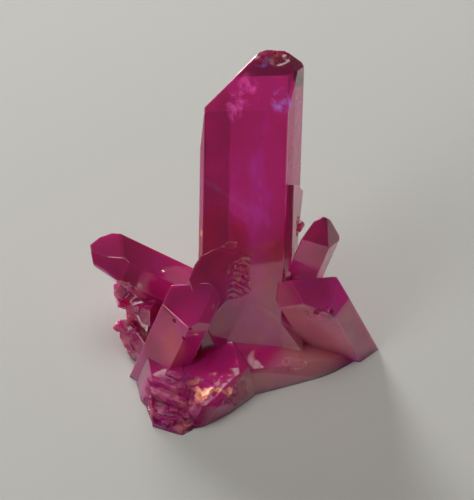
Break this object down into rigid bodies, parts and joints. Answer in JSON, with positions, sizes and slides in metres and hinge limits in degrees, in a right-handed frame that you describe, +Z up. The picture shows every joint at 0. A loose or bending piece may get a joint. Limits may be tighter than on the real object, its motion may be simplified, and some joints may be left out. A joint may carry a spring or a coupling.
{
  "type": "aura quartz cluster",
  "caption": "Cluster of grown-together quartz crystals with a rose metallic coating, a tall point rising from short ones on a broken base, standing on a flat break.",
  "frame": {"origin": "middle of the bounding box, on the flat break that the cluster rests on", "axes": "+Z up along the tall crystal, which leans back; the front of the cluster faces -Y, +X to its right as seen from the front"},
  "size_m": [0.0458, 0.0396, 0.0457],
  "materials": {
    "aura_quartz": "clear quartz under a thin glossy metallic rose coating"
  },
  "bodies": {
    "root": {"quartz_cluster": "aura_quartz"}
  },
  "joints": []
}
